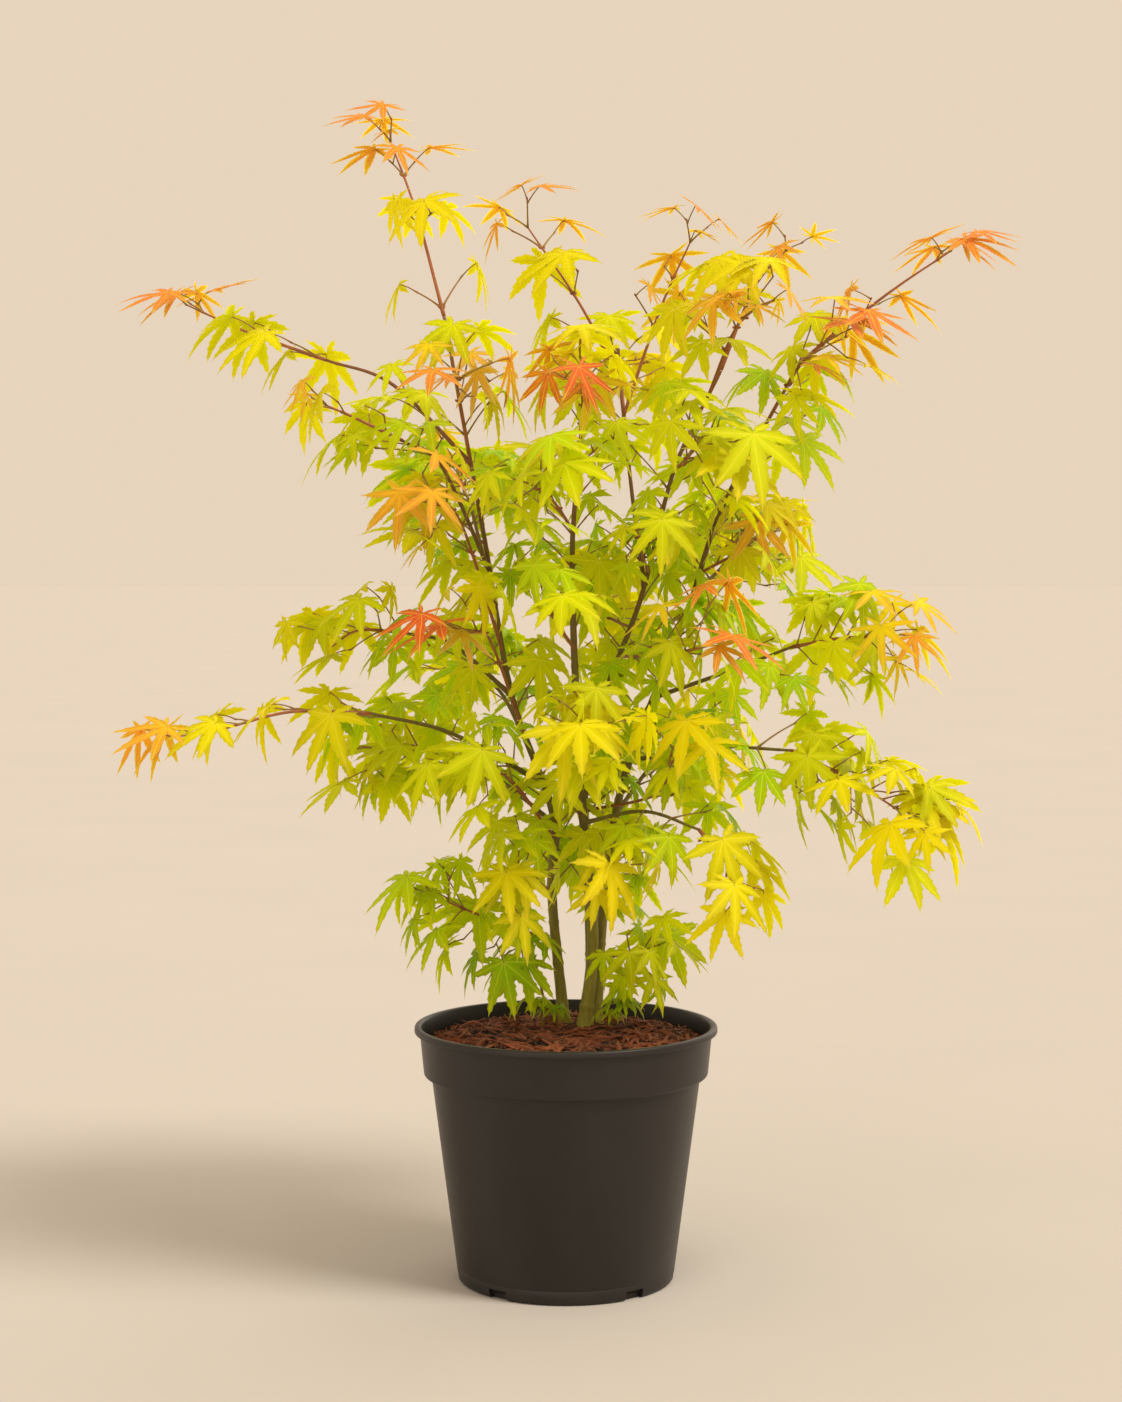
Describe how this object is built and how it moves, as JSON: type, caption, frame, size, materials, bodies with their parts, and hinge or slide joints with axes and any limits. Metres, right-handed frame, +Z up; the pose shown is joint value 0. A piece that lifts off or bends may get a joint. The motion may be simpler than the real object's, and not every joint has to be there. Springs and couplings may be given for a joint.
{
  "type": "potted japanese maple",
  "caption": "Young Japanese maple with slender arching stems and open layers of palmate autumn-tinted leaves, growing in a round tapered plastic nursery pot that stands on its flat base.",
  "frame": {"origin": "middle of the flat underside of the pot, on the surface that it stands on", "axes": "+Z up along the pot's axis, +X to the right and -Y to the front as in the picture"},
  "size_m": [0.5618, 0.378, 0.7297],
  "materials": {
    "pot": "satin anthracite moulded plastic",
    "mulch": "loose dark reddish-brown bark mulch over compost",
    "bark": "smooth olive-brown young bark",
    "foliage": "thin soft leaves, lime green with yellow, orange and red autumn tints"
  },
  "bodies": {
    "root": {"pot": "pot", "soil": "mulch", "stem_left": "bark", "stem_centre": "bark", "stem_right": "bark", "stem_middle": "bark", "stem_upper": "bark", "bough_upper_left": "bark", "bough_second_left": "bark", "bough_middle_left": "bark", "bough_low_left": "bark", "bough_low_left_rear": "bark", "bough_middle_right": "bark", "bough_low_right": "bark", "bough_hanging_right": "bark", "bough_rear_low_left": "bark", "bough_rear_low_right": "bark", "bough_rear_high_left": "bark", "bough_rear_high_right": "bark", "foliage_tip_left": "foliage", "foliage_upper_left": "foliage", "foliage_shoulder_left": "foliage", "foliage_second_left": "foliage", "foliage_left": "foliage", "foliage_middle_left": "foliage", "foliage_front_left": "foliage", "foliage_low_left": "foliage", "foliage_low_left_rear": "foliage", "foliage_low_front_left": "foliage", "foliage_foot_left": "foliage", "foliage_foot_front": "foliage", "foliage_foot_right": "foliage", "foliage_low_centre": "foliage", "foliage_middle_front": "foliage", "foliage_low_right_front": "foliage", "foliage_waist_front": "foliage", "foliage_waist_right": "foliage", "foliage_heart": "foliage", "foliage_upper_front": "foliage", "foliage_crown_front": "foliage", "foliage_upper_right": "foliage", "foliage_right": "foliage", "foliage_middle_right": "foliage", "foliage_low_right": "foliage", "foliage_hanging_right": "foliage", "foliage_far_right": "foliage", "foliage_shoulder_right": "foliage", "foliage_high_right": "foliage", "foliage_tip_right": "foliage", "foliage_top_right": "foliage", "foliage_top_centre": "foliage", "foliage_rear_low_left": "foliage", "foliage_rear_low_right": "foliage", "foliage_rear_high_left": "foliage", "foliage_rear_high_right": "foliage", "foliage_rear_middle": "foliage", "foliage_rear_top": "foliage", "foliage_rear_foot": "foliage"}
  },
  "joints": []
}
